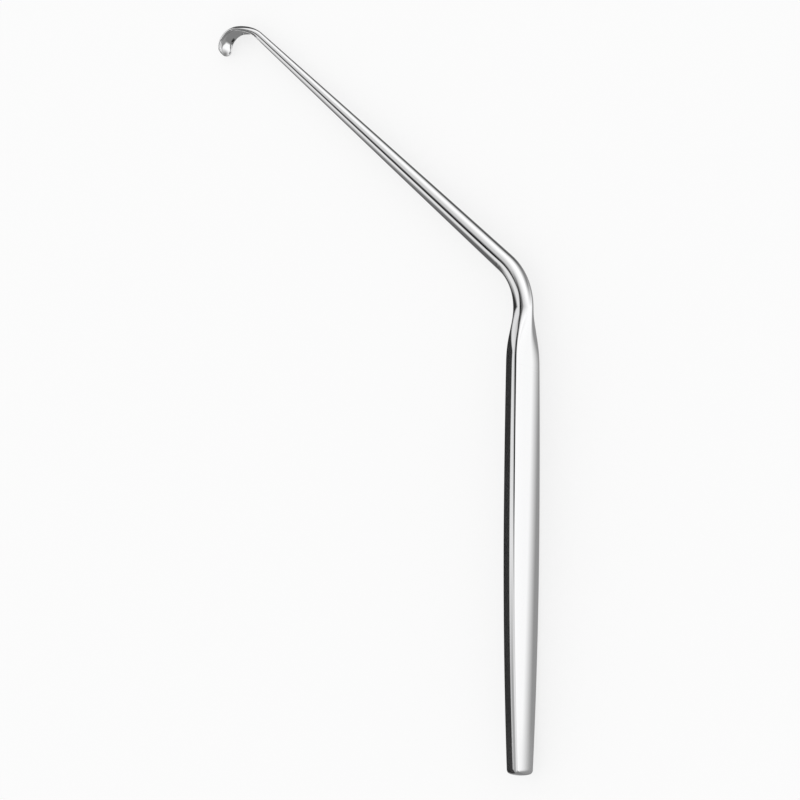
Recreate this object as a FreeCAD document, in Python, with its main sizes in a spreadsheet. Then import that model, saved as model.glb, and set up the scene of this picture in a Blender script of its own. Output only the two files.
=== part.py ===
"""Handheld surgical retractor, forged and ground from one bar of stainless steel.

The handle lies along X with its butt towards -X, and the axes of handle and shaft cross at the
model's zero point. The shaft turns away towards +Y, and the hook blade at its end goes on turning the
same way, so the whole centre line stays in the XY plane. At rest the instrument lies on its side, on
the lower narrow side of the handle and the lower rim of the blade, so the body is rolled a little
about X and then set down. Lengths are in millimetres and angles in degrees.
"""
import FreeCAD, Part
import math
import os

import Sketcher

SIZES = {
    # Handle, a flat bar that is widest near its middle.
    "handle_length": 114.0,
    "edge_thickness": 3.2,
    "belly_width": 10.68,
    "belly_distance": 58.3,
    "butt_width": 6.5,
    "butt_crown_radius": 11.0,
    "butt_corner_radius": 1.3,
    "butt_edge_radius": 0.35,
    "shoulder_width": 9.96,
    "side_radius": 4.0,
    "edge_radius": 0.5,
    "face_radius": 40.0,
    # Neck, where the flat bar runs out into the round.
    "neck_diameter": 4.79,
    "neck_length": 14.0,
    # Bend and tapered shaft.
    "bend_angle": 48.17,
    "bend_radius": 15.3,
    "shaft_length": 111.83,
    "shaft_middle_diameter": 3.56,
    "shaft_end_diameter": 2.04,
    # Hook blade: three bends, each tighter than the one before, and its width, depth and hollow.
    "lead_radius": 13.7,
    "lead_turn": 33.0,
    "crook_radius": 5.25,
    "crook_turn": 34.4,
    "tip_radius": 4.25,
    "tip_turn": 92.0,
    "blade_width": 5.0,
    "blade_depth": 2.0,
    "tip_depth": 1.15,
    "scoop_depth": 0.9,
    "rim_radius": 0.45,
    "tip_rounding": 2.1,
}

# Room past the metal for a cutting sketch, and how far its arcs run past the metal's side.
CUT_MARGIN = 4.0
OVERLAP = 0.02

# Stock past the butt, which is ground off as the end is crowned.
BUTT_STOCK = 1.0

# Where the bar's face, its soft edge's start, middle and end, and its narrow side come to lie on the
# round neck, in degrees from the face's middle.
NECK_ANGLES = (0, 30, 40, 50, 90)

# Where the blade's back, its rim's start, middle and end, and its floor come from on the round shaft,
# in degrees from the floor's middle.
BLADE_ANGLES = (180, 120, 90, 60, 0)

# How many spans the lofts are drawn over.
HANDLE_SPANS = 4
NECK_SPANS = 5
BLADE_SPANS = 12
TIP_SPANS = 3

# Share of the blade's length over which the round spreads into the hollow.
SPREAD_SHARE = 0.45

# How far round the tip its sections go, short of a quarter turn.
TIP_SWEEP = 80.0


def make_sheet(document):
    """Writes the driving sizes into a spreadsheet, one alias a row."""
    sheet = document.addObject("Spreadsheet::Sheet", "Sizes")
    for row, (alias, value) in enumerate(SIZES.items(), start=1):
        sheet.set(f"A{row}", alias)
        sheet.set(f"B{row}", str(value))
        sheet.setAlias(f"B{row}", alias)
    document.recompute()
    return sheet


def point(x, y):
    """A point of a sketch plane."""
    return FreeCAD.Vector(x, y, 0)


def direction(angle):
    """The unit vector of a sketch plane at an angle in radians."""
    return point(math.cos(angle), math.sin(angle))


def round_outline(angles, radius):
    """Points of a round section at angles in degrees."""
    return [direction(math.radians(angle)) * radius for angle in angles]


def between(outline, other, share):
    """The points that lie a share of the way from one outline's points to another's."""
    return [place * (1 - share) + goal * share for place, goal in zip(outline, other)]


class Retractor:
    """The retractor's body and its sizes, with one method for each region."""

    def __init__(self, document, sheet):
        """Reads the sizes and opens the body."""
        self.document = document
        self.body = document.addObject("PartDesign::Body", "Retractor")
        self.body.Label = "retractor"
        for alias in SIZES:
            setattr(self, alias, float(sheet.get(alias)))
        self.neck_radius = self.neck_diameter / 2
        self.bend_reach = self.bend_radius * math.tan(math.radians(self.bend_angle / 2))
        self.shoulder_distance = self.handle_length - self.bend_reach - self.neck_length
        self.hook_bends = ((self.lead_radius, self.lead_turn), (self.crook_radius, self.crook_turn),
                           (self.tip_radius, self.tip_turn))
        self.hook_length = sum(radius * math.radians(turn) for radius, turn in self.hook_bends)

    def add_sketch(self, name, role, base=(0, 0, 0), turn=0, axis=(0, 1, 0)):
        """Adds a sketch on an origin plane, shifted and turned in that plane's own axes."""
        plane = next(item for item in self.body.Origin.OriginFeatures if item.Role == role)
        sketch = self.body.newObject("Sketcher::SketchObject", name)
        sketch.AttachmentSupport = [(plane, "")]
        sketch.MapMode = "FlatFace"
        rotation = FreeCAD.Rotation(FreeCAD.Vector(*axis), turn)
        sketch.AttachmentOffset = FreeCAD.Placement(FreeCAD.Vector(*base), rotation)
        return sketch

    def drive(self, sketch, constraint, formula):
        """Adds a constraint whose value follows the sheet."""
        index = sketch.addConstraint(constraint)
        sketch.setExpression(f"Constraints[{index}]", formula)

    def circle_section(self, name, station):
        """A round section of the neck, across X at a station."""
        sketch = self.add_sketch(name, "YZ_Plane", base=(0, 0, station))
        circle = sketch.addGeometry(Part.Circle(point(0, 0), FreeCAD.Vector(0, 0, 1), self.neck_radius))
        sketch.addConstraint(Sketcher.Constraint("Coincident", circle, 3, -1, 1))
        radius = Sketcher.Constraint("Radius", circle, self.neck_radius)
        self.drive(sketch, radius, "Sizes.neck_diameter / 2")
        return sketch

    def bar_outline(self, half_width):
        """Five points on a quarter of the flat bar: face, soft edge (start, middle, end) and narrow side.

        The face, the edge and the narrow side are arcs that run into one another. The edge's centre is
        as far inside the narrow side's arc as it is inside the face's.
        """
        edge, side, face = self.edge_radius, self.side_radius, self.face_radius
        height = self.edge_thickness / 2 - edge
        side_turn = math.asin(height / (side - edge))
        across = half_width - side + (side - edge) * math.cos(side_turn)
        face_turn = math.asin(across / (face - edge))
        face_centre = height - (face - edge) * math.cos(face_turn)
        end_turn = math.pi / 2 - side_turn
        turns = (face_turn, (face_turn + end_turn) / 2, end_turn)
        on_edge = [point(height, across) + direction(turn) * edge for turn in turns]
        return [point(face_centre + face, 0), *on_edge, point(0, half_width)]

    def bar_section(self, name, station, half_width, roundness=0.0):
        """A section across X: two faces, two narrow sides and four soft edges between them.

        Roundness carries each point from the flat bar, at 0, to the round neck, at 1.
        """
        flat = self.bar_outline(half_width)
        face, edge_in, edge, edge_out, side = between(
            flat, round_outline(NECK_ANGLES, self.neck_radius), roundness)

        def mirrored(place, across, up):
            """A point moved to another quarter of the section."""
            return point(place.x * across, place.y * up)

        sketch = self.add_sketch(name, "YZ_Plane", base=(0, 0, station))
        for turn in (1, -1):
            corners = [mirrored(place, turn, turn) for place in (edge_in, edge, edge_out)]
            next_corners = [mirrored(place, -turn, turn) for place in (edge_out, edge, edge_in)]
            start = mirrored(edge_in, turn, -turn)
            sketch.addGeometry(Part.Arc(start, mirrored(face, turn, 1), corners[0]))
            sketch.addGeometry(Part.Arc(*corners))
            sketch.addGeometry(Part.Arc(corners[2], mirrored(side, 1, turn), next_corners[0]))
            sketch.addGeometry(Part.Arc(*next_corners))
        return sketch

    def half_width_at(self, from_butt):
        """Half the handle's width: one shallow arc from butt to belly, another on past the shoulder."""
        belly = self.belly_width / 2
        if from_butt < self.belly_distance:
            end, reach = self.butt_width / 2, self.belly_distance
        else:
            end, reach = self.shoulder_width / 2, self.shoulder_distance - self.belly_distance
        return belly - (belly - end) * ((from_butt - self.belly_distance) / reach) ** 2

    def loft(self, name, sections):
        """Lofts through sections in their order."""
        feature = self.body.newObject("PartDesign::AdditiveLoft", name)
        feature.Profile = sections[0]
        feature.Sections = sections[1:]
        self.document.recompute()
        return feature

    def handle(self):
        """Lofts the flat bar of the handle, from just past the butt to the shoulder."""
        sections = []
        for index in range(HANDLE_SPANS + 1):
            from_butt = (self.shoulder_distance + BUTT_STOCK) * index / HANDLE_SPANS - BUTT_STOCK
            station = from_butt - self.handle_length
            sections.append(self.bar_section(f"HandleSection{index}", station, self.half_width_at(from_butt)))
        return self.loft("HandleBar", sections)

    def neck(self):
        """Lofts the neck, where the bar runs out into the round, smoothly at both ends."""
        sections = []
        for index in range(NECK_SPANS + 1):
            share = index / NECK_SPANS
            from_butt = self.shoulder_distance + self.neck_length * share
            roundness = share ** 3 * (4 - 3 * share)
            sections.append(self.bar_section(f"NeckSection{index}", from_butt - self.handle_length,
                                             self.half_width_at(from_butt), roundness))
        return self.loft("Neck", sections)

    def pocket(self, name, sketch):
        """Cuts a sketch's outlines through the whole body, to both sides."""
        feature = self.body.newObject("PartDesign::Pocket", name)
        feature.Profile = sketch
        feature.Type = 1
        feature.Midplane = True
        self.document.recompute()
        return feature

    def butt(self):
        """Grinds the butt to a shallow crown with two rounded corners, seen on the broad face."""
        end = -self.handle_length
        crown, corner = self.butt_crown_radius, self.butt_corner_radius
        flare = (self.belly_width - self.butt_width) / self.belly_distance
        slope = math.hypot(1, flare)
        level = self.butt_width / 2 + flare * crown + (OVERLAP - corner) * slope
        root = (flare * level) ** 2 - slope ** 2 * (level ** 2 - (crown - corner) ** 2)
        centre_x = -(flare * level + math.sqrt(root)) / slope ** 2
        crown_centre = point(end + crown, 0)
        sketch = self.add_sketch("ButtOutline", "XZ_Plane")
        flanks = []
        for side in (1, -1):
            centre = crown_centre + point(centre_x, side * (level + flare * centre_x))
            outward = (centre - crown_centre).normalize()
            upward = point(-flare, side).normalize()
            tips = [centre + direction * corner for direction in
                    (outward, (outward + upward).normalize(), upward)]
            sketch.addGeometry(Part.Arc(*tips))
            clear = [tips[2] + upward * CUT_MARGIN, point(end - CUT_MARGIN, tips[2].y + side * CUT_MARGIN)]
            sketch.addGeometry(Part.LineSegment(tips[2], clear[0]))
            sketch.addGeometry(Part.LineSegment(clear[0], clear[1]))
            flanks.append((tips[0], clear[1]))
        sketch.addGeometry(Part.Arc(flanks[0][0], point(end, 0), flanks[1][0]))
        sketch.addGeometry(Part.LineSegment(flanks[0][1], flanks[1][1]))
        return self.pocket("ButtGrind", sketch)

    def soft_butt(self):
        """Softens the sharp edge that grinding left round the butt."""
        base = self.body.Tip
        ground = -self.handle_length + self.butt_crown_radius / 2
        edges = [f"Edge{index}" for index, edge in enumerate(base.Shape.Edges, start=1)
                 if edge.BoundBox.XMax < ground and edge.BoundBox.YMin * edge.BoundBox.YMax > 0]
        feature = self.body.newObject("PartDesign::Fillet", "SoftButt")
        feature.Base = (base, edges)
        feature.setExpression("Radius", "Sizes.butt_edge_radius")
        self.document.recompute()
        return feature

    def bend(self):
        """Turns the round neck through the bend, about an upright axis beside it."""
        section = self.circle_section("BendSection", -self.bend_reach)
        section.addGeometry(Part.LineSegment(point(self.bend_radius, 0), point(self.bend_radius, 1)), True)
        feature = self.body.newObject("PartDesign::Revolution", "Bend")
        feature.Profile = section
        feature.ReferenceAxis = (section, ["Axis0"])
        feature.setExpression("Angle", "Sizes.bend_angle")
        self.document.recompute()
        return feature

    def along_shaft(self, distance, offset=0.0):
        """A point of the XY plane at a distance along the shaft's axis and an offset towards the hook."""
        angle = math.radians(self.bend_angle)
        x = distance * math.cos(angle) - offset * math.sin(angle)
        y = distance * math.sin(angle) + offset * math.cos(angle)
        return point(x, y)

    def shaft(self):
        """Turns the shaft about its own axis, with two tapers that meet in its middle."""
        sketch = self.add_sketch("ShaftProfile", "XY_Plane")
        root, end = self.bend_reach, self.shaft_length
        profile = [self.along_shaft(root), self.along_shaft(root, self.neck_radius),
                   self.along_shaft((root + end) / 2, self.shaft_middle_diameter / 2),
                   self.along_shaft(end, self.shaft_end_diameter / 2), self.along_shaft(end)]
        for start, goal in zip(profile, profile[1:] + profile[:1]):
            sketch.addGeometry(Part.LineSegment(start, goal))
        sketch.addGeometry(Part.LineSegment(profile[0], profile[-1]), True)
        feature = self.body.newObject("PartDesign::Revolution", "Shaft")
        feature.Profile = sketch
        feature.ReferenceAxis = (sketch, ["Axis0"])
        feature.Angle = 360
        self.document.recompute()
        return feature

    def thinning(self, share):
        """The blade's depth at a share of its length, as a part of its full depth."""
        return 1 + (self.tip_depth / self.blade_depth - 1) * share

    def blade_outline(self, share):
        """Five points on half of the blade's section: back, rim (start, middle, end) and floor.

        The middle of the rim's arc is the section's own zero line, and the arcs of back and floor run
        into it. The section thins with the share of the blade's length that it has come.
        """
        thinning = self.thinning(share)
        rim, scoop = self.rim_radius * thinning, self.scoop_depth * thinning
        back = self.blade_depth * thinning - rim
        across = self.blade_width / 2 - rim
        back_centre = (across ** 2 - (back - rim) ** 2) / (2 * (back - rim))
        floor_centre = (across ** 2 - scoop ** 2) / (2 * scoop)
        start, end = math.atan2(across, -back_centre), math.atan2(-across, floor_centre)
        on_rim = [point(0, across) + direction(turn) * rim for turn in (start, (start + end) / 2, end)]
        return [point(-back, 0), *on_rim, point(rim - scoop, 0)]

    def hook_station(self, run):
        """Where the blade's centre line is after a run from the shaft's end, and its direction there."""
        angle = self.bend_angle
        centre = self.along_shaft(self.shaft_length)
        for radius, turn in self.hook_bends:
            start = math.radians(angle)
            swept = min(turn, math.degrees(run / radius))
            end = math.radians(angle + swept)
            step = point(math.sin(end) - math.sin(start), math.cos(start) - math.cos(end))
            centre = centre + step * radius
            angle += swept
            run -= radius * math.radians(swept)
        return centre, angle

    def blade_section(self, name, run, narrowing=1.0):
        """The blade's section after a run: a round that spreads into a hollow, thinning to the tip."""
        share = run / self.hook_length
        spread = min(1.0, share / SPREAD_SHARE)
        spread = spread * spread * (3 - 2 * spread)
        shaft_round = round_outline(BLADE_ANGLES, self.shaft_end_diameter / 2)
        outline = between(shaft_round, self.blade_outline(share), spread)
        back, rim_start, rim, rim_end, floor = (corner * narrowing for corner in outline)
        lower_start, lower_rim, lower_end = (point(corner.x, -corner.y) for corner in (rim_start, rim, rim_end))
        middle = (self.rim_radius - self.blade_depth / 2) * self.thinning(share)
        centre, angle = self.hook_station(run)
        place = centre - direction(math.radians(angle + 90)) * (middle * spread * narrowing)
        sketch = self.add_sketch(name, "YZ_Plane", base=(place.y, 0, place.x), turn=angle)
        sketch.addGeometry(Part.Arc(lower_start, back, rim_start))
        sketch.addGeometry(Part.Arc(rim_start, rim, rim_end))
        sketch.addGeometry(Part.Arc(rim_end, floor, lower_end))
        sketch.addGeometry(Part.Arc(lower_end, lower_rim, lower_start))
        return sketch

    def blade(self):
        """Lofts the blade from the shaft's end to where its tip starts to round."""
        reach = self.hook_length - self.tip_rounding
        sections = [self.blade_section(f"BladeSection{index}", reach * index / BLADE_SPANS)
                    for index in range(BLADE_SPANS + 1)]
        return self.loft("Blade", sections)

    def tip(self):
        """Lofts the rounded end of the blade."""
        reach = self.hook_length - self.tip_rounding
        sections = []
        for index in range(TIP_SPANS + 1):
            angle = math.radians(TIP_SWEEP * index / TIP_SPANS)
            run = reach + self.tip_rounding * math.sin(angle)
            sections.append(self.blade_section(f"TipSection{index}", run, math.cos(angle)))
        return self.loft("Tip", sections)

    def set_down(self):
        """Lays the body on its side, on handle and blade, centred over the zero point."""
        hook_end, _ = self.hook_station(self.hook_length)
        drop = (self.belly_width - self.blade_width) / 2
        roll = math.degrees(math.atan(drop / hook_end.y))
        turn = FreeCAD.Rotation(FreeCAD.Vector(1, 0, 0), -roll)
        self.body.Placement = FreeCAD.Placement(FreeCAD.Vector(0, 0, 0), turn)
        self.document.recompute()
        box = self.body.Shape.optimalBoundingBox()
        shift = FreeCAD.Vector(-box.Center.x, -box.Center.y, -box.ZMin)
        self.body.Placement = FreeCAD.Placement(shift, turn)
        self.document.recompute()


def check(document, shape):
    """Stops if any object of the document failed or the finished solid isn't sound."""
    for item in document.Objects:
        if {"Invalid", "Error"} & set(item.State):
            raise RuntimeError(f"{item.Name} failed: {item.State}")
    if shape.isNull() or not shape.isValid() or len(shape.Solids) != 1:
        raise RuntimeError("the retractor isn't one sound solid")


def main():
    """Builds the retractor and writes its file."""
    document = FreeCAD.newDocument("Retractor")
    retractor = Retractor(document, make_sheet(document))
    retractor.handle()
    retractor.neck()
    retractor.butt()
    retractor.soft_butt()
    retractor.bend()
    retractor.shaft()
    retractor.blade()
    retractor.tip()
    retractor.set_down()
    shape = retractor.body.Shape
    check(document, shape)
    os.makedirs("parts", exist_ok=True)
    shape.exportStep(f"parts/{retractor.body.Label}.step")
    box = shape.optimalBoundingBox()
    print(f"volume {shape.Volume:.1f}, size {box.XLength:.2f} {box.YLength:.2f} {box.ZLength:.2f}")


main()
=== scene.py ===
"""Studio scene of a handheld surgical retractor in polished stainless steel.

The frame holds the retractor's solid at its real place. Here the same body is shaped again from the same
sizes, as one fine mesh that mirrors the studio without facets. It is a bar that changes along its centre
line: a flat handle, a neck that runs out into the round, a bend, a tapered shaft and a scooped hook
blade. Each of these is a node group that lays rings of points along the line, and one tree joins them.
Lengths are in metres and angles in radians, unless a name says otherwise. In the groups the handle lies
along x, the bend turns towards y and z runs across the bar's width.
"""

import logging
import math
from abc import ABC, abstractmethod
from dataclasses import dataclass, field, fields
from typing import ClassVar, Union

import bpy
from mathutils import Matrix, Vector

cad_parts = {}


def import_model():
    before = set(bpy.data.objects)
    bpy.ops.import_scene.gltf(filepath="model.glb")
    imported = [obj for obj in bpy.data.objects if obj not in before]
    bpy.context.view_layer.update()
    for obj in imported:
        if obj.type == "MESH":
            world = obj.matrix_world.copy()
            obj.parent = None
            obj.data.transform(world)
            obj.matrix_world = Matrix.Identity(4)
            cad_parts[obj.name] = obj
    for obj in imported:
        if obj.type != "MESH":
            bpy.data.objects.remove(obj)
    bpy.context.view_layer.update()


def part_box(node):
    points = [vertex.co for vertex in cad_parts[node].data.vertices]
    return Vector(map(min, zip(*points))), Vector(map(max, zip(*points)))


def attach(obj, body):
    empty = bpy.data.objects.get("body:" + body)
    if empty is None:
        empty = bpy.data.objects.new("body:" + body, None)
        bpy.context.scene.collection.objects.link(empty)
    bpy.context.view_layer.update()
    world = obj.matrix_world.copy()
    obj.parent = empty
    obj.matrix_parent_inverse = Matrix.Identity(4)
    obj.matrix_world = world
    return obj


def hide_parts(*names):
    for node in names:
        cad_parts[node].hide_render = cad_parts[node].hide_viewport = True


LOG = logging.getLogger("retractor")
BODY = "root"
NODE = "retractor"
PIECE = "polished_body"
STRAIGHT_PLACE = "straight_place"

FULL_TURN = 2 * math.pi
QUARTER_TURN = math.pi / 2

POINTS_AROUND = 96
SIDE_SHARE = 5 / 24
EDGE_SHARE = 13 / 24
BLADE_BENDS = ("Lead", "Crook", "Tip")

Number = Union["Field", float]
Direction = tuple[float, float, float]

RIGHT: Direction = (1.0, 0.0, 0.0)
LEFT: Direction = (-1.0, 0.0, 0.0)
REAR: Direction = (0.0, 1.0, 0.0)
FRONT: Direction = (0.0, -1.0, 0.0)
DOWN: Direction = (0.0, 0.0, -1.0)


class Field:
    """A number on its way through a node tree, whose arithmetic adds the nodes that do it."""

    def __init__(self, tree: bpy.types.NodeTree, socket: bpy.types.NodeSocket) -> None:
        """Keeps the tree and the socket that the number comes out of."""
        self.tree = tree
        self.socket = socket

    def apply(self, operation: str, *others: Number) -> "Field":
        """Adds a Math node.

        Args:
            operation: The node's operation, as Blender names it.
            others: The numbers that follow this one in the node's inputs.

        Returns:
            The node's result.
        """
        node = self.tree.nodes.new("ShaderNodeMath")
        node.operation = operation
        for place, value in enumerate((self, *others)):
            if isinstance(value, Field):
                self.tree.links.new(value.socket, node.inputs[place])
            else:
                node.inputs[place].default_value = value
        return Field(self.tree, node.outputs[0])

    def __add__(self, other: Number) -> "Field":
        """Sum."""
        return self.apply("ADD", other)

    def __sub__(self, other: Number) -> "Field":
        """Difference."""
        return self.apply("SUBTRACT", other)

    def __mul__(self, other: Number) -> "Field":
        """Product."""
        return self.apply("MULTIPLY", other)

    def __truediv__(self, other: Number) -> "Field":
        """Quotient."""
        return self.apply("DIVIDE", other)

    def __neg__(self) -> "Field":
        """The number with its sign turned."""
        return self.apply("MULTIPLY", -1.0)

    def __rsub__(self, other: float) -> "Field":
        """Difference from a plain number."""
        return self.apply("MULTIPLY", -1.0).apply("ADD", other)

    __radd__ = __add__
    __rmul__ = __mul__

    def squared(self) -> "Field":
        """Its square."""
        return self.apply("MULTIPLY", self)

    def root(self) -> "Field":
        """Its square root."""
        return self.apply("SQRT")

    def sin(self) -> "Field":
        """Its sine."""
        return self.apply("SINE")

    def cos(self) -> "Field":
        """Its cosine."""
        return self.apply("COSINE")

    def tan(self) -> "Field":
        """Its tangent."""
        return self.apply("TANGENT")

    def asin(self) -> "Field":
        """Its arcsine."""
        return self.apply("ARCSINE")

    def atan(self) -> "Field":
        """Its arctangent."""
        return self.apply("ARCTANGENT")

    def bearing(self, ahead: "Field") -> "Field":
        """The angle of the point that lies this far across and so far ahead."""
        return self.apply("ARCTAN2", ahead)

    def size(self) -> "Field":
        """Its size without its sign."""
        return self.apply("ABSOLUTE")

    def sign(self) -> "Field":
        """Its sign, as -1, 0 or 1."""
        return self.apply("SIGN")

    def least(self, other: Number) -> "Field":
        """The lesser of the two."""
        return self.apply("MINIMUM", other)

    def most(self, other: Number) -> "Field":
        """The greater of the two."""
        return self.apply("MAXIMUM", other)

    def rest(self, divisor: float) -> "Field":
        """What is left over after division."""
        return self.apply("MODULO", divisor)

    def part(self, start: Number, end: Number) -> "Field":
        """How far it has come from start to end, held between 0 and 1."""
        return ((self - start) / (end - start)).most(0.0).least(1.0)

    def towards(self, other: Number, share: "Field") -> "Field":
        """The number a share of the way from this one to another."""
        return self + (other - self) * share


Place = tuple[Field, Field, Field]


class Form:
    """A geometry node group in the making, whose inputs are named sizes."""

    def __init__(self, name: str, sizes: dict[str, float]) -> None:
        """Opens the group.

        Args:
            name: The group's name.
            sizes: Every size by its name. The group gets an input for each one that it asks for.
        """
        self.sizes = sizes
        self.tree = bpy.data.node_groups.new(name, "GeometryNodeTree")
        self.tree.interface.new_socket("Mesh", in_out="OUTPUT", socket_type="NodeSocketGeometry")
        self.entry = self.tree.nodes.new("NodeGroupInput")
        self.exit = self.tree.nodes.new("NodeGroupOutput")

    def size(self, name: str) -> Field:
        """Gives a named size, as an input of the group.

        Args:
            name: The size's name.

        Returns:
            The size as a number in the tree.
        """
        if name not in self.entry.outputs:
            socket = self.tree.interface.new_socket(name, in_out="INPUT", socket_type="NodeSocketFloat")
            socket.default_value = self.sizes[name]
        return Field(self.tree, self.entry.outputs[name])

    def rings(self, count: int) -> tuple[Field, Field]:
        """Lays out a net of points, which becomes rings along the bar.

        Args:
            count: How many rings there are.

        Returns:
            How far along the rings a point is and how far round its ring, both from 0 to 1.
        """
        self.net = self.tree.nodes.new("GeometryNodeMeshGrid")
        self.net.inputs["Size X"].default_value = 1.0
        self.net.inputs["Size Y"].default_value = 1.0
        self.net.inputs["Vertices X"].default_value = count
        self.net.inputs["Vertices Y"].default_value = POINTS_AROUND + 1
        position = self.tree.nodes.new("GeometryNodeInputPosition")
        split = self.tree.nodes.new("ShaderNodeSeparateXYZ")
        self.tree.links.new(position.outputs[0], split.inputs[0])
        along, around = (Field(self.tree, split.outputs[axis]) + 0.5 for axis in ("X", "Y"))
        return along, around

    def vector(self, values: Place) -> bpy.types.NodeSocket:
        """Joins three numbers to a vector."""
        joined = self.tree.nodes.new("ShaderNodeCombineXYZ")
        for axis, value in zip("XYZ", values):
            self.tree.links.new(value.socket, joined.inputs[axis])
        return joined.outputs[0]

    def place(self, place: Place, straight: Place) -> None:
        """Moves each point of the net to its place and closes the group.

        Args:
            place: Where the point is, as x, y and z.
            straight: Where it would be on the straightened bar: along it, across it and its height. The
                finish follows this.
        """
        move = self.tree.nodes.new("GeometryNodeSetPosition")
        self.tree.links.new(self.net.outputs["Mesh"], move.inputs["Geometry"])
        self.tree.links.new(self.vector(place), move.inputs["Position"])
        mark = self.tree.nodes.new("GeometryNodeStoreNamedAttribute")
        mark.data_type = "FLOAT_VECTOR"
        mark.domain = "POINT"
        mark.inputs["Name"].default_value = STRAIGHT_PLACE
        self.tree.links.new(move.outputs["Geometry"], mark.inputs["Geometry"])
        self.tree.links.new(self.vector(straight), mark.inputs["Value"])
        self.tree.links.new(mark.outputs["Geometry"], self.exit.inputs["Mesh"])


def size_name(title: str, field_name: str) -> str:
    """A size's name as the trees show it."""
    return f"{title} {field_name.replace('_', ' ').title()}"


class Stretch(ABC):
    """One stretch of the bar, with its sizes as fields."""

    rings: ClassVar[int]

    @abstractmethod
    def shape(self, form: Form) -> None:
        """Writes the stretch's rule into a node group."""

    @property
    def title(self) -> str:
        """The stretch's name in words."""
        return type(self).__name__

    def sizes(self) -> dict[str, float]:
        """The fields as named sizes, such as Handle Length."""
        return {size_name(self.title, item.name): float(getattr(self, item.name)) for item in fields(self)}


def handle_half_width(form: Form, from_butt: Field) -> Field:
    """Half the handle's width: a shallow arc from butt to belly and another from belly to neck.

    Args:
        form: The node group.
        from_butt: The distance from the butt.

    Returns:
        Half the width at that distance.
    """
    belly, distance = form.size("Handle Belly Width"), form.size("Handle Belly Distance")
    back = (distance - from_butt).most(0.0) / distance
    ahead = (from_butt - distance).most(0.0) / (form.size("Neck Start") - distance)
    loss = (belly - form.size("Handle Butt Width")) * back.squared()
    loss = loss + (belly - form.size("Handle Shoulder Width")) * ahead.squared()
    return (belly - loss) * 0.5


def bar_ring(form: Form, around: Field, half_width: Field, lean: Number) -> Place:
    """The section of the flat bar: convex narrow sides, soft edges and softly crowned broad faces.

    Args:
        form: The node group.
        around: How far round the ring a point is, from the middle of the upper narrow side.
        half_width: Half the bar's width at the ring.
        lean: How much of the outline's outward direction points across the bar, 1 on a straight flank.

    Returns:
        How far the point lies outside the outline, its place across the bar and its height.
    """
    side, edge, face = (form.size(f"Handle {name} Radius") for name in ("Side", "Edge", "Face"))
    quarter = 1.0 - (1.0 - (around * 4.0).rest(2.0)).size()
    side_part = quarter.part(0.0, SIDE_SHARE)
    edge_part = quarter.part(SIDE_SHARE, EDGE_SHARE)
    face_part = quarter.part(EDGE_SHARE, 1.0)
    inner = side - edge
    side_turn = ((form.size("Handle Edge Height") * 0.5 - edge) / inner).asin()
    edge_across = half_width + lean * (inner * side_turn.cos() - side)
    tilt = (edge_across / (face - edge)).asin()
    on_side = side_turn * side_part
    turn = on_side + (QUARTER_TURN - side_turn - tilt) * edge_part
    inset = side * (on_side.cos() - 1.0) + edge * (turn.cos() - on_side.cos())
    reach = half_width + lean * inset
    across = reach * (1.0 - face_part)
    height = side * on_side.sin() + edge * (turn.sin() - on_side.sin())
    height = height + (face.squared() - across.squared()).root() - (face.squared() - reach.squared()).root()
    angle = around * FULL_TURN
    return inset, across * angle.cos().sign(), height * angle.sin().sign()


def round_ring(around: Field, radius: Field) -> tuple[Field, Field]:
    """A round section.

    Args:
        around: How far round the ring a point is.
        radius: The section's radius.

    Returns:
        The point's place across the bar and its height.
    """
    angle = around * FULL_TURN
    return radius * angle.cos(), radius * angle.sin()


def bend_reach(form: Form) -> Field:
    """How far the bend begins before the corner where the handle's and the shaft's centre lines meet."""
    return form.size("Bend Radius") * (form.size("Bend Angle") * 0.5).tan()


@dataclass
class Handle(Stretch):
    """The flat bar of the handle: widest near its middle, with softly crowned faces and a crowned butt."""

    rings: ClassVar[int] = 148
    crown_share: ClassVar[float] = 0.10
    corner_share: ClassVar[float] = 0.20

    length: float = 0.114
    edge_height: float = 0.0032
    belly_width: float = 0.01068
    belly_distance: float = 0.0583
    butt_width: float = 0.0065
    crown_radius: float = 0.011
    corner_radius: float = 0.0013
    shoulder_width: float = 0.00996
    side_radius: float = 0.004
    edge_radius: float = 0.0005
    face_radius: float = 0.040

    def shape(self, form: Form) -> None:
        """Goes round the butt's crown and corner, and then along the flank to the neck."""
        along, around = form.rings(self.rings)
        crown_part = along.part(0.0, self.crown_share)
        corner_part = along.part(self.crown_share, self.corner_share)
        flank_part = along.part(self.corner_share, 1.0)
        crown, corner = form.size("Handle Crown Radius"), form.size("Handle Corner Radius")
        belly, distance = form.size("Handle Belly Width"), form.size("Handle Belly Distance")
        flare = ((belly - form.size("Handle Butt Width")) / distance).atan()
        level = form.size("Handle Butt Width") * 0.5 * flare.cos() + crown * flare.sin() - corner
        crown_turn = (level / (crown - corner)).asin() - flare
        corner_end = QUARTER_TURN - flare
        corner_reach = crown - (crown - corner) * crown_turn.cos() - corner * flare.sin()
        turn = crown_turn * crown_part + (corner_end - crown_turn) * corner_part
        bowed = crown_turn * crown_part
        run = (form.size("Neck Start") - corner_reach) * flank_part
        width = crown * bowed.sin() + corner * (turn.sin() - bowed.sin())
        width = width + handle_half_width(form, corner_reach + run) - handle_half_width(form, corner_reach)
        facing = turn + (QUARTER_TURN - corner_end) * flank_part
        inset, across, height = bar_ring(form, around, width, facing.sin())
        x = crown * (1.0 - bowed.cos()) + corner * (bowed.cos() - turn.cos()) + run
        x = x - form.size("Handle Length") - facing.cos() * inset
        form.place((x, height, across), (x, across, height))


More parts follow.
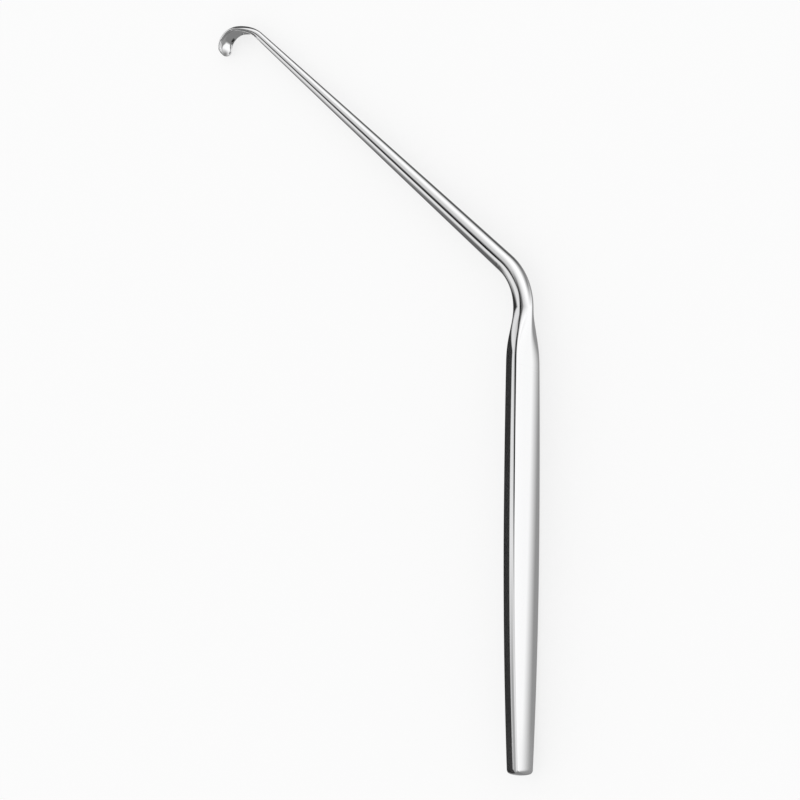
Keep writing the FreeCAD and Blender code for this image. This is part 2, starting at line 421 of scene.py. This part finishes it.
@dataclass
class Neck(Stretch):
    """The neck, where the flat bar runs out into the round. Its start is measured from the butt."""

    rings: ClassVar[int] = 48

    start: float = 0.0
    length: float = 0.014
    diameter: float = 0.00479

    def shape(self, form: Form) -> None:
        """Blends the bar's section into the round one, smoothly at both ends."""
        along, around = form.rings(self.rings)
        from_butt = form.size("Neck Start") + form.size("Neck Length") * along
        roundness = along.squared() * along * (4.0 - 3.0 * along)
        _, across, height = bar_ring(form, around, handle_half_width(form, from_butt), 1.0)
        round_across, round_height = round_ring(around, form.size("Neck Diameter") * 0.5)
        across = across.towards(round_across, roundness)
        height = height.towards(round_height, roundness)
        x = from_butt - form.size("Handle Length")
        form.place((x, height, across), (x, across, height))


@dataclass
class Bend(Stretch):
    """The bend, which turns the round bar aside."""

    rings: ClassVar[int] = 56

    angle: float = math.radians(48.17)
    radius: float = 0.0153

    def shape(self, form: Form) -> None:
        """Carries the round section along an arc."""
        along, around = form.rings(self.rings)
        across, height = round_ring(around, form.size("Neck Diameter") * 0.5)
        bend, turn, reach = form.size("Bend Radius"), form.size("Bend Angle") * along, bend_reach(form)
        x = (bend - height) * turn.sin() - reach
        y = bend - (bend - height) * turn.cos()
        form.place((x, y, across), (bend * turn - reach, across, height))


@dataclass
class Shaft(Stretch):
    """The shaft, a round rod that tapers to the hook with a slight swell."""

    rings: ClassVar[int] = 72

    length: float = 0.11183
    middle_diameter: float = 0.00356
    end_diameter: float = 0.00204

    def shape(self, form: Form) -> None:
        """Carries the round section along a straight line while its radius follows a shallow arc."""
        along, around = form.rings(self.rings)
        start, end = form.size("Neck Diameter"), form.size("Shaft End Diameter")
        swell = form.size("Shaft Middle Diameter") - (start + end) * 0.5
        diameter = start + (end - start) * along + swell * 4.0 * along * (1.0 - along)
        across, height = round_ring(around, diameter * 0.5)
        turn, reach = form.size("Bend Angle"), bend_reach(form)
        run = reach + (form.size("Shaft Length") - reach) * along
        x, y = run * turn.cos() - height * turn.sin(), run * turn.sin() + height * turn.cos()
        straight = form.size("Bend Radius") * turn - reach * 2.0 + run
        form.place((x, y, across), (straight, across, height))


@dataclass
class Blade(Stretch):
    """The hook blade: three bends, each tighter than the one before, and a hollow inner face."""

    rings: ClassVar[int] = 190
    body_share: ClassVar[float] = 0.86

    lead_radius: float = 0.0137
    lead_turn: float = math.radians(33.0)
    crook_radius: float = 0.00525
    crook_turn: float = math.radians(34.4)
    tip_radius: float = 0.00425
    tip_turn: float = math.radians(92.0)
    width: float = 0.005
    depth: float = 0.002
    tip_depth: float = 0.00115
    scoop_depth: float = 0.0009
    rim_radius: float = 0.00045
    tip_rounding: float = 0.0021
    spread_share: float = 0.45

    def shape(self, form: Form) -> None:
        """Spreads the round into the hollow, thins it towards the tip and rounds the tip off."""
        along, around = form.rings(self.rings)
        lead, crook, tip = (form.size(f"Blade {bend} Radius") * form.size(f"Blade {bend} Turn")
                            for bend in BLADE_BENDS)
        length, rounding = lead + crook + tip, form.size("Blade Tip Rounding")
        sweep = along.part(self.body_share, 1.0) * QUARTER_TURN
        run = (length - rounding) * along.part(0.0, self.body_share) + rounding * sweep.sin()
        narrowing = sweep.cos()
        share = run / length
        spread = (share / form.size("Blade Spread Share")).least(1.0)
        spread = spread.squared() * (3.0 - 2.0 * spread)
        thinning = 1.0 + (form.size("Blade Tip Depth") / form.size("Blade Depth") - 1.0) * share
        hollow_across, hollow_height, middle = self.hollow_ring(form, around, thinning)
        round_across, round_height = round_ring(around, form.size("Shaft End Diameter") * 0.5)
        across = round_across.towards(hollow_across, spread) * narrowing
        height = (round_height.towards(hollow_height, spread) - middle * spread) * narrowing
        x, y, turn = self.centre_line(form, run)
        before = form.size("Bend Radius") * form.size("Bend Angle") - bend_reach(form) * 2.0
        straight = before + form.size("Shaft Length") + run
        form.place((x - height * turn.sin(), y + height * turn.cos(), across), (straight, across, height))

    def centre_line(self, form: Form, run: Field) -> Place:
        """Follows the blade's three bends.

        Args:
            form: The node group.
            run: The distance from the shaft's end.

        Returns:
            Where the line is, as x and y, and its direction there.
        """
        turn = form.size("Bend Angle")
        x, y = form.size("Shaft Length") * turn.cos(), form.size("Shaft Length") * turn.sin()
        for bend in BLADE_BENDS:
            radius, full = form.size(f"Blade {bend} Radius"), form.size(f"Blade {bend} Turn")
            end = turn + (run / radius).most(0.0).least(full)
            x = x + radius * (end.sin() - turn.sin())
            y = y + radius * (turn.cos() - end.cos())
            run = run - radius * full
            turn = end
        return x, y, turn

    def hollow_ring(self, form: Form, around: Field, thinning: Field) -> Place:
        """The blade's full section: a hollow floor, a round back and soft rims that run into both.

        Args:
            form: The node group.
            around: How far round the ring a point is, from the upper rim over the floor.
            thinning: The blade's depth at the ring, as a part of its full depth.

        Returns:
            The point's place across the blade, its height over the line between the rims' centres, and
            the height of the section's middle.
        """
        rim = form.size("Blade Rim Radius") * thinning
        scoop = form.size("Blade Scoop Depth") * thinning
        back = form.size("Blade Depth") * thinning - rim
        reach = form.size("Blade Width") * 0.5 - rim
        back_centre = (reach.squared() - (back - rim).squared()) / ((back - rim) * 2.0)
        floor_centre = (reach.squared() - scoop.squared()) / (scoop * 2.0)
        back_radius, floor_radius = back_centre + back, floor_centre + scoop - rim
        start, floor_turn = reach.bearing(-back_centre), reach.bearing(floor_centre)
        from_floor = ((around + 0.25).rest(1.0) - 0.5).size() * 2.0
        on_floor = floor_turn * from_floor.part(0.0, 1 / 3)
        on_rim = (start + floor_turn) * from_floor.part(1 / 3, 2 / 3) - floor_turn
        on_back = start + (math.pi - start) * from_floor.part(2 / 3, 1.0)
        across = floor_radius * on_floor.sin() + rim * (on_rim.sin() + floor_turn.sin())
        across = across + back_radius * (on_back.sin() - start.sin())
        height = floor_centre - floor_radius * on_floor.cos() + rim * (on_rim.cos() - floor_turn.cos())
        height = height + back_radius * (on_back.cos() - start.cos())
        return across * (around * FULL_TURN).cos().sign(), height, (rim - back) * 0.5


@dataclass
class Retractor:
    """The whole instrument: its stretches in order and the tree that joins them."""

    handle: Handle = field(default_factory=Handle)
    neck: Neck = field(default_factory=Neck)
    bend: Bend = field(default_factory=Bend)
    shaft: Shaft = field(default_factory=Shaft)
    blade: Blade = field(default_factory=Blade)
    seam_gap: float = 2e-6

    def __post_init__(self) -> None:
        """Puts the neck before the bend and collects the sizes."""
        reach = self.bend.radius * math.tan(self.bend.angle / 2)
        self.neck.start = self.handle.length - reach - self.neck.length
        self.stretches = (self.handle, self.neck, self.bend, self.shaft, self.blade)
        self.sizes = {name: value for stretch in self.stretches for name, value in stretch.sizes().items()}
        self.sizes["Rest Roll"] = self.rest_roll()
        self.shift = Vector()

    def rest_roll(self) -> float:
        """The angle about X at which the instrument rests on its handle and on the blade's lower rim."""
        turn = self.bend.angle
        y = self.shaft.length * math.sin(turn)
        for bend in BLADE_BENDS:
            radius, sweep = (getattr(self.blade, f"{bend.lower()}_{name}") for name in ("radius", "turn"))
            y += radius * (math.cos(turn) - math.cos(turn + sweep))
            turn += sweep
        return math.atan((self.handle.belly_width - self.blade.width) / 2 / y)

    def tree(self, material: bpy.types.Material) -> bpy.types.NodeTree:
        """Writes the tree that joins the stretches and lays the instrument down.

        Args:
            material: The finish of the whole surface.

        Returns:
            The tree, with each size as a named input.
        """
        form = Form("Retractor", self.sizes)
        nodes, links = form.tree.nodes, form.tree.links
        joined = nodes.new("GeometryNodeJoinGeometry")
        for stretch in reversed(self.stretches):
            part = Form(stretch.title, self.sizes)
            stretch.shape(part)
            group = nodes.new("GeometryNodeGroup")
            group.node_tree = part.tree
            for socket in group.inputs:
                links.new(form.size(socket.name).socket, socket)
            links.new(group.outputs["Mesh"], joined.inputs[0])
        merged = nodes.new("GeometryNodeMergeByDistance")
        merged.inputs["Distance"].default_value = self.seam_gap
        links.new(joined.outputs[0], merged.inputs["Geometry"])
        rotation = nodes.new("ShaderNodeCombineXYZ")
        links.new((-form.size("Rest Roll")).socket, rotation.inputs["X"])
        turned = nodes.new("GeometryNodeTransform")
        links.new(rotation.outputs[0], turned.inputs["Rotation"])
        links.new(merged.outputs["Geometry"], turned.inputs["Geometry"])
        smooth = nodes.new("GeometryNodeSetShadeSmooth")
        links.new(turned.outputs["Geometry"], smooth.inputs["Geometry"])
        real = nodes.new("GeometryNodeRealizeInstances")
        links.new(smooth.outputs["Geometry"], real.inputs["Geometry"])
        dressed = nodes.new("GeometryNodeSetMaterial")
        dressed.inputs["Material"].default_value = material
        links.new(real.outputs["Geometry"], dressed.inputs["Geometry"])
        links.new(dressed.outputs["Geometry"], form.exit.inputs["Mesh"])
        return form.tree

    def mesh(self, material: bpy.types.Material) -> bpy.types.Mesh:
        """Runs the tree.

        Args:
            material: The finish of the whole surface.

        Returns:
            The instrument as a plain mesh, lying as it rests.
        """
        seed = bpy.data.objects.new("seed", bpy.data.meshes.new("seed"))
        bpy.context.scene.collection.objects.link(seed)
        modifier = seed.modifiers.new("Rule", "NODES")
        modifier.node_group = self.tree(material)
        for socket in modifier.node_group.interface.items_tree:
            if socket.in_out == "INPUT":
                modifier[socket.identifier] = self.sizes[socket.name]
        graph = bpy.context.evaluated_depsgraph_get()
        mesh = bpy.data.meshes.new_from_object(seed.evaluated_get(graph), depsgraph=graph)
        seed.modifiers.remove(modifier)
        bpy.data.objects.remove(seed)
        return mesh

    def build(self, material: bpy.types.Material) -> bpy.types.Object:
        """Makes the instrument's fine body at the solid's place.

        Args:
            material: The finish of the whole surface.

        Returns:
            The body, as one piece at the zero point.
        """
        mesh = self.mesh(material)
        mesh.name = PIECE
        points = [vertex.co for vertex in mesh.vertices]
        own_low = Vector(min(point[axis] for point in points) for axis in range(3))
        own_high = Vector(max(point[axis] for point in points) for axis in range(3))
        low, high = (Vector(corner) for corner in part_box(NODE))
        self.shift = (low + high - own_low - own_high) / 2
        mesh.transform(Matrix.Translation(self.shift))
        body = bpy.data.objects.new(PIECE, mesh)
        bpy.context.scene.collection.objects.link(body)
        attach(body, BODY)
        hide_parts(NODE)
        millimetres = [round(size * 1000, 2) for size in own_high - own_low]
        LOG.info("%s: %d faces, %s mm", body.name, len(mesh.polygons), millimetres)
        return body


@dataclass(frozen=True)
class Grain:
    """A soft random pattern that is drawn out along the bar: how long and how wide one patch of it is."""

    length: float
    width: float
    detail: float = 2.0

    def value(self, tree: bpy.types.NodeTree) -> Field:
        """Adds the nodes that give the pattern.

        Args:
            tree: The finish's node tree.

        Returns:
            The pattern, from 0 to 1 and mostly near 0.5.
        """
        place = tree.nodes.new("ShaderNodeAttribute")
        place.attribute_name = STRAIGHT_PLACE
        scaled = tree.nodes.new("ShaderNodeVectorMath")
        scaled.operation = "DIVIDE"
        scaled.inputs[1].default_value = (self.length, self.width, self.width)
        tree.links.new(place.outputs["Vector"], scaled.inputs[0])
        noise = tree.nodes.new("ShaderNodeTexNoise")
        noise.inputs["Scale"].default_value = 1.0
        noise.inputs["Detail"].default_value = self.detail
        tree.links.new(scaled.outputs[0], noise.inputs["Vector"])
        return Field(tree, noise.outputs[0])


@dataclass(frozen=True)
class PolishedSteel:
    """Stainless steel polished along the bar: bright, faintly wavy, with fine lines and a few marks."""

    name: str = "polished_stainless"
    colour: tuple[float, float, float] = (0.86, 0.86, 0.865)
    roughness: float = 0.06
    lines: Grain = Grain(0.030, 0.00022, 3.0)
    line_roughness: float = 0.03
    line_height: float = 0.5e-6
    haze: Grain = Grain(0.009, 0.003)
    haze_roughness: float = 0.05
    scratches: Grain = Grain(0.012, 0.00035, 0.0)
    scratch_share: tuple[float, float] = (0.70, 0.76)
    scratch_roughness: float = 0.10
    scratch_depth: float = 1.0e-6
    waves: Grain = Grain(0.016, 0.006, 1.0)
    wave_height: float = 16e-6

    def material(self) -> bpy.types.Material:
        """Makes the finish."""
        material = bpy.data.materials.new(self.name)
        material.use_nodes = True
        tree = material.node_tree
        shader = tree.nodes["Principled BSDF"]
        shader.inputs["Base Color"].default_value = (*self.colour, 1.0)
        shader.inputs["Metallic"].default_value = 1.0
        lines, haze, waves = self.lines.value(tree), self.haze.value(tree), self.waves.value(tree)
        scratches = self.scratches.value(tree).part(*self.scratch_share)
        roughness = self.roughness + (lines - 0.5) * self.line_roughness + (haze - 0.5) * self.haze_roughness
        roughness = roughness + scratches * self.scratch_roughness
        tree.links.new(roughness.socket, shader.inputs["Roughness"])
        height = waves * self.wave_height + lines * self.line_height - scratches * self.scratch_depth
        bump = tree.nodes.new("ShaderNodeBump")
        bump.inputs["Distance"].default_value = 1.0
        tree.links.new(height.socket, bump.inputs["Height"])
        tree.links.new(bump.outputs["Normal"], shader.inputs["Normal"])
        return material


@dataclass(frozen=True)
class Edge:
    """A soft edge: nothing before its start, all past its end, measured along a direction."""

    along: Direction
    start: float
    end: float

    def cover(self, tree: bpy.types.NodeTree, place: bpy.types.NodeSocket) -> Field:
        """Adds the nodes that tell how far past the edge a place is.

        Args:
            tree: The material's or world's node tree.
            place: The place or direction that is looked at.

        Returns:
            The share, from 0 before the edge to 1 past it.
        """
        node = tree.nodes.new("ShaderNodeVectorMath")
        node.operation = "DOT_PRODUCT"
        node.inputs[1].default_value = self.along
        tree.links.new(place, node.inputs[0])
        return Field(tree, node.outputs["Value"]).part(self.start, self.end)


def inside(edges: tuple[Edge, ...], tree: bpy.types.NodeTree, place: bpy.types.NodeSocket) -> Field:
    """The share by which a place lies past all of the edges.

    Args:
        edges: The edges.
        tree: The material's or world's node tree.
        place: The place or direction that is looked at.

    Returns:
        The product of the edges' shares.
    """
    share = edges[0].cover(tree, place)
    for edge in edges[1:]:
        share = share * edge.cover(tree, place)
    return share


@dataclass(frozen=True)
class Panel:
    """A patch of the room of one brightness, between soft edges across the directions."""

    where: str
    level: float
    edges: tuple[Edge, ...]


@dataclass(frozen=True)
class Room:
    """The studio's light: an even white room, which polished metal mirrors as pale and dark panels.

    The mirrored room's brightness changes along one direction. A stop holds how far along it, from -1 to 1,
    and how bright the room is there. The panels lie over that, each over the ones before it.
    """

    sweep: Direction = (-0.825, 0.513, 0.239)
    stops: tuple[tuple[float, float], ...] = (
        (-0.78, 1.2), (-0.60, 1.0), (-0.40, 0.74), (-0.30, 0.66), (-0.20, 0.74), (-0.10, 0.86), (0.20, 0.86),
        (0.45, 0.90), (0.54, 0.85), (0.60, 0.60), (0.65, 0.24), (0.70, 0.09))
    panels: tuple[Panel, ...] = (
        Panel("left wall", 0.40, (Edge(LEFT, -0.10, 0.02), Edge(FRONT, -0.45, -0.25))),
        Panel("left front", 0.90, (Edge(LEFT, -0.10, 0.02), Edge(FRONT, -0.10, 0.10))),
        Panel("ground", 0.32, (Edge(DOWN, -0.02, 0.05),)),
        Panel("ground behind", 0.10, (Edge(DOWN, -0.02, 0.05), Edge(REAR, 0.10, 0.40))),
        Panel("near ground behind", 0.90, (Edge(DOWN, 0.38, 0.52), Edge(REAR, 0.25, 0.50))),
        Panel("ground in front, right", 1.10, (Edge(DOWN, -0.10, 0.0), Edge((0.8, -1.0, 0.0), 0.555, 0.69))),
        Panel("ground in front", 1.15, (Edge(DOWN, -0.10, 0.0), Edge(FRONT, 0.66, 0.84))),
        Panel("ground at the right", 0.28, (Edge(DOWN, 0.0, 0.5), Edge(RIGHT, 0.22, 0.60))),
        Panel("near ground at the right", 0.10,
              (Edge(DOWN, 0.28, 0.42), Edge(RIGHT, 0.55, 0.75), Edge(REAR, -0.35, -0.10))),
        Panel("right corner behind", 0.03,
              (Edge(DOWN, -0.20, 0.0), Edge(RIGHT, 0.50, 0.80), Edge(REAR, 0.10, 0.35))),
        Panel("low left", 0.24, (Edge(DOWN, -0.55, -0.30), Edge(LEFT, 0.30, 0.50))))

    def level(self, tree: bpy.types.NodeTree) -> Field:
        """Adds the nodes that tell the mirrored brightness by direction.

        Args:
            tree: The world's node tree.

        Returns:
            The brightness.
        """
        direction = tree.nodes.new("ShaderNodeTexCoord").outputs["Generated"]
        ramp = tree.nodes.new("ShaderNodeValToRGB")
        tree.links.new(Edge(self.sweep, -1.0, 1.0).cover(tree, direction).socket, ramp.inputs[0])
        elements = ramp.color_ramp.elements
        elements.remove(elements[1])
        for index, (reach, level) in enumerate(self.stops):
            stop = elements[0] if index == 0 else elements.new(reach * 0.5 + 0.5)
            stop.position = reach * 0.5 + 0.5
            stop.color = (level, level, level, 1.0)
        brightness = Field(tree, ramp.outputs["Color"])
        for panel in self.panels:
            brightness = brightness.towards(panel.level, inside(panel.edges, tree, direction))
        return brightness

    def build(self) -> None:
        """Lights the studio."""
        world = bpy.data.worlds.new("studio")
        bpy.context.scene.world = world
        world.use_nodes = True
        tree = world.node_tree
        mirrored, even = tree.nodes["Background"], tree.nodes.new("ShaderNodeBackground")
        for light in (mirrored, even):
            light.inputs["Color"].default_value = (1.0, 1.0, 1.0, 1.0)
        even.inputs["Strength"].default_value = 1.0
        tree.links.new(self.level(tree).socket, mirrored.inputs["Strength"])
        mix, path = tree.nodes.new("ShaderNodeMixShader"), tree.nodes.new("ShaderNodeLightPath")
        tree.links.new(path.outputs["Is Glossy Ray"], mix.inputs[0])
        tree.links.new(even.outputs[0], mix.inputs[1])
        tree.links.new(mirrored.outputs[0], mix.inputs[2])
        tree.links.new(mix.outputs[0], tree.nodes["World Output"].inputs["Surface"])
        LOG.info("room: %s", ", ".join(panel.where for panel in self.panels))


def sheet(name: str, corners: tuple[Direction, ...], material: bpy.types.Material) -> bpy.types.Object:
    """Makes a flat sheet for the studio.

    Args:
        name: The sheet's name.
        corners: Its four corners in order.
        material: Its finish.

    Returns:
        The sheet, linked into the scene.
    """
    mesh = bpy.data.meshes.new(name)
    mesh.from_pydata(corners, [], [(0, 1, 2, 3)])
    mesh.materials.append(material)
    made = bpy.data.objects.new(name, mesh)
    bpy.context.scene.collection.objects.link(made)
    return made


@dataclass(frozen=True)
class Flag:
    """A dark card with soft edges that only the metal sees. It lies flat or stands facing the front."""

    name: str
    tone: float
    low: Direction
    high: Direction
    edges: tuple[Edge, ...]

    def finish(self) -> bpy.types.Material:
        """Makes the card's dull dark surface, which fades out past its edges."""
        material = bpy.data.materials.new(self.name)
        material.use_nodes = True
        tree = material.node_tree
        shader = tree.nodes["Principled BSDF"]
        shader.inputs["Base Color"].default_value = (self.tone, self.tone, self.tone, 1.0)
        shader.inputs["Roughness"].default_value = 1.0
        shader.inputs["Specular IOR Level"].default_value = 0.0
        place = tree.nodes.new("ShaderNodeTexCoord").outputs["Object"]
        tree.links.new(inside(self.edges, tree, place).socket, shader.inputs["Alpha"])
        return material

    def build(self) -> None:
        """Puts the card into the studio."""
        (left, near, low), (right, far, high) = self.low, self.high
        corners = ((left, near, low), (right, near, low), (right, far, high), (left, far, high))
        card = sheet(self.name, corners, self.finish())
        card.visible_camera = card.visible_diffuse = card.visible_shadow = card.visible_transmission = False
        LOG.info("%s: tone %.3f", self.name, self.tone)


@dataclass(frozen=True)
class Floor:
    """The white floor, which takes the instrument's soft shadow and shows white to the camera."""

    reach: float = 3.0
    tone: float = 0.9
    roughness: float = 0.9
    glow_share: float = 0.7

    def finish(self) -> bpy.types.Material:
        """Makes the floor's white surface."""
        material = bpy.data.materials.new("white_floor")
        material.use_nodes = True
        nodes, links = material.node_tree.nodes, material.node_tree.links
        shader = nodes["Principled BSDF"]
        shader.inputs["Base Color"].default_value = (self.tone, self.tone, self.tone, 1.0)
        shader.inputs["Roughness"].default_value = self.roughness
        glow, mix = nodes.new("ShaderNodeEmission"), nodes.new("ShaderNodeMixShader")
        seen = Field(material.node_tree, nodes.new("ShaderNodeLightPath").outputs["Is Camera Ray"])
        links.new((seen * self.glow_share).socket, mix.inputs[0])
        links.new(shader.outputs[0], mix.inputs[1])
        links.new(glow.outputs[0], mix.inputs[2])
        links.new(mix.outputs[0], nodes["Material Output"].inputs["Surface"])
        return material

    def build(self) -> None:
        """Lays the floor. The metal mirrors the room's panels in its place."""
        reach = self.reach
        corners = ((-reach, -reach, 0.0), (reach, -reach, 0.0), (reach, reach, 0.0), (-reach, reach, 0.0))
        floor = sheet("floor", corners, self.finish())
        floor.visible_glossy = False
        LOG.info("floor: %.1f m wide", 2 * reach)


@dataclass(frozen=True)
class Camera:
    """The camera at the photograph's viewing angle, aimed from the instrument's own axes."""

    sensor_mm: float = 36.0
    lens_mm: float = 112.905
    nearest: float = 0.01
    rise: float = math.radians(52.0)
    aside: float = math.radians(-10.0)
    roll: float = math.radians(-0.92)
    distance: float = 0.6
    aim: Direction = (-0.0249, 0.0358, 0.0)

    def build(self, retractor: Retractor) -> None:
        """Sets the camera up.

        Args:
            retractor: The instrument, whose place and roll the camera follows.
        """
        data = bpy.data.cameras.new("camera")
        camera = bpy.data.objects.new("camera", data)
        bpy.context.scene.collection.objects.link(camera)
        bpy.context.scene.camera = camera
        data.sensor_width, data.lens, data.clip_start = self.sensor_mm, self.lens_mm, self.nearest
        axis, level = Vector(RIGHT), Vector((0.0, -math.cos(self.rise), math.sin(self.rise)))
        view = axis * math.sin(self.aside) + level * math.cos(self.aside)
        up = axis * math.cos(self.aside) - level * math.sin(self.aside)
        right = up.cross(view)
        up_turned = up * math.cos(self.roll) + right * math.sin(self.roll)
        right_turned = right * math.cos(self.roll) - up * math.sin(self.roll)
        turn = Matrix((right_turned, up_turned, view)).transposed().to_4x4()
        place = Vector(self.aim) + view * self.distance
        rest = Matrix.Rotation(-retractor.rest_roll(), 4, "X")
        camera.matrix_world = Matrix.Translation(retractor.shift) @ rest @ Matrix.Translation(place) @ turn
        LOG.info("camera: lens %.1f mm", self.lens_mm)


@dataclass(frozen=True)
class Studio:
    """The floor, the flags, the room and the camera.

    The rear flag makes the handle's narrow side dark. The other two lie over the handle and over the shaft
    and draw the dark line that runs from end to end.
    """

    floor: Floor = Floor()
    flags: tuple[Flag, ...] = (
        Flag("rear_flag", 0.04, (-0.15, -0.028, 0.004), (0.02, -0.028, 0.06),
             (Edge(LEFT, -0.019, -0.016), Edge(DOWN, -0.056, -0.048))),
        Flag("handle_flag", 0.015, (-0.07, -0.13, 0.022), (0.045, -0.04, 0.022),
             (Edge(RIGHT, -0.055, -0.030), Edge(LEFT, -0.032, -0.0265),
              Edge((0.08, -1.0, 0.0), 0.0452, 0.0480), Edge((-0.75, 1.0, 0.0), -0.071, -0.061))),
        Flag("shaft_flag", 0.015, (0.0, -0.06, 0.0221), (0.12, 0.08, 0.0221),
             (Edge((1.0, -0.5, 0.0), 0.0405, 0.0430), Edge((-0.745, 0.667, 0.0), -0.0515, -0.0445),
              Edge((0.745, -0.667, 0.0), 0.0370, 0.0398))))
    room: Room = Room()
    camera: Camera = Camera()

    def build(self, retractor: Retractor) -> None:
        """Sets up the studio round the instrument.

        Args:
            retractor: The instrument, in its place.
        """
        self.floor.build()
        for flag in self.flags:
            flag.build()
        self.room.build()
        self.camera.build(retractor)
        bpy.context.scene.view_settings.view_transform = "Standard"


def main() -> None:
    """Builds the instrument and its studio."""
    logging.basicConfig(level=logging.INFO, format="%(message)s")
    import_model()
    retractor = Retractor()
    retractor.build(PolishedSteel().material())
    Studio().build(retractor)


if __name__ == "__main__":
    main()
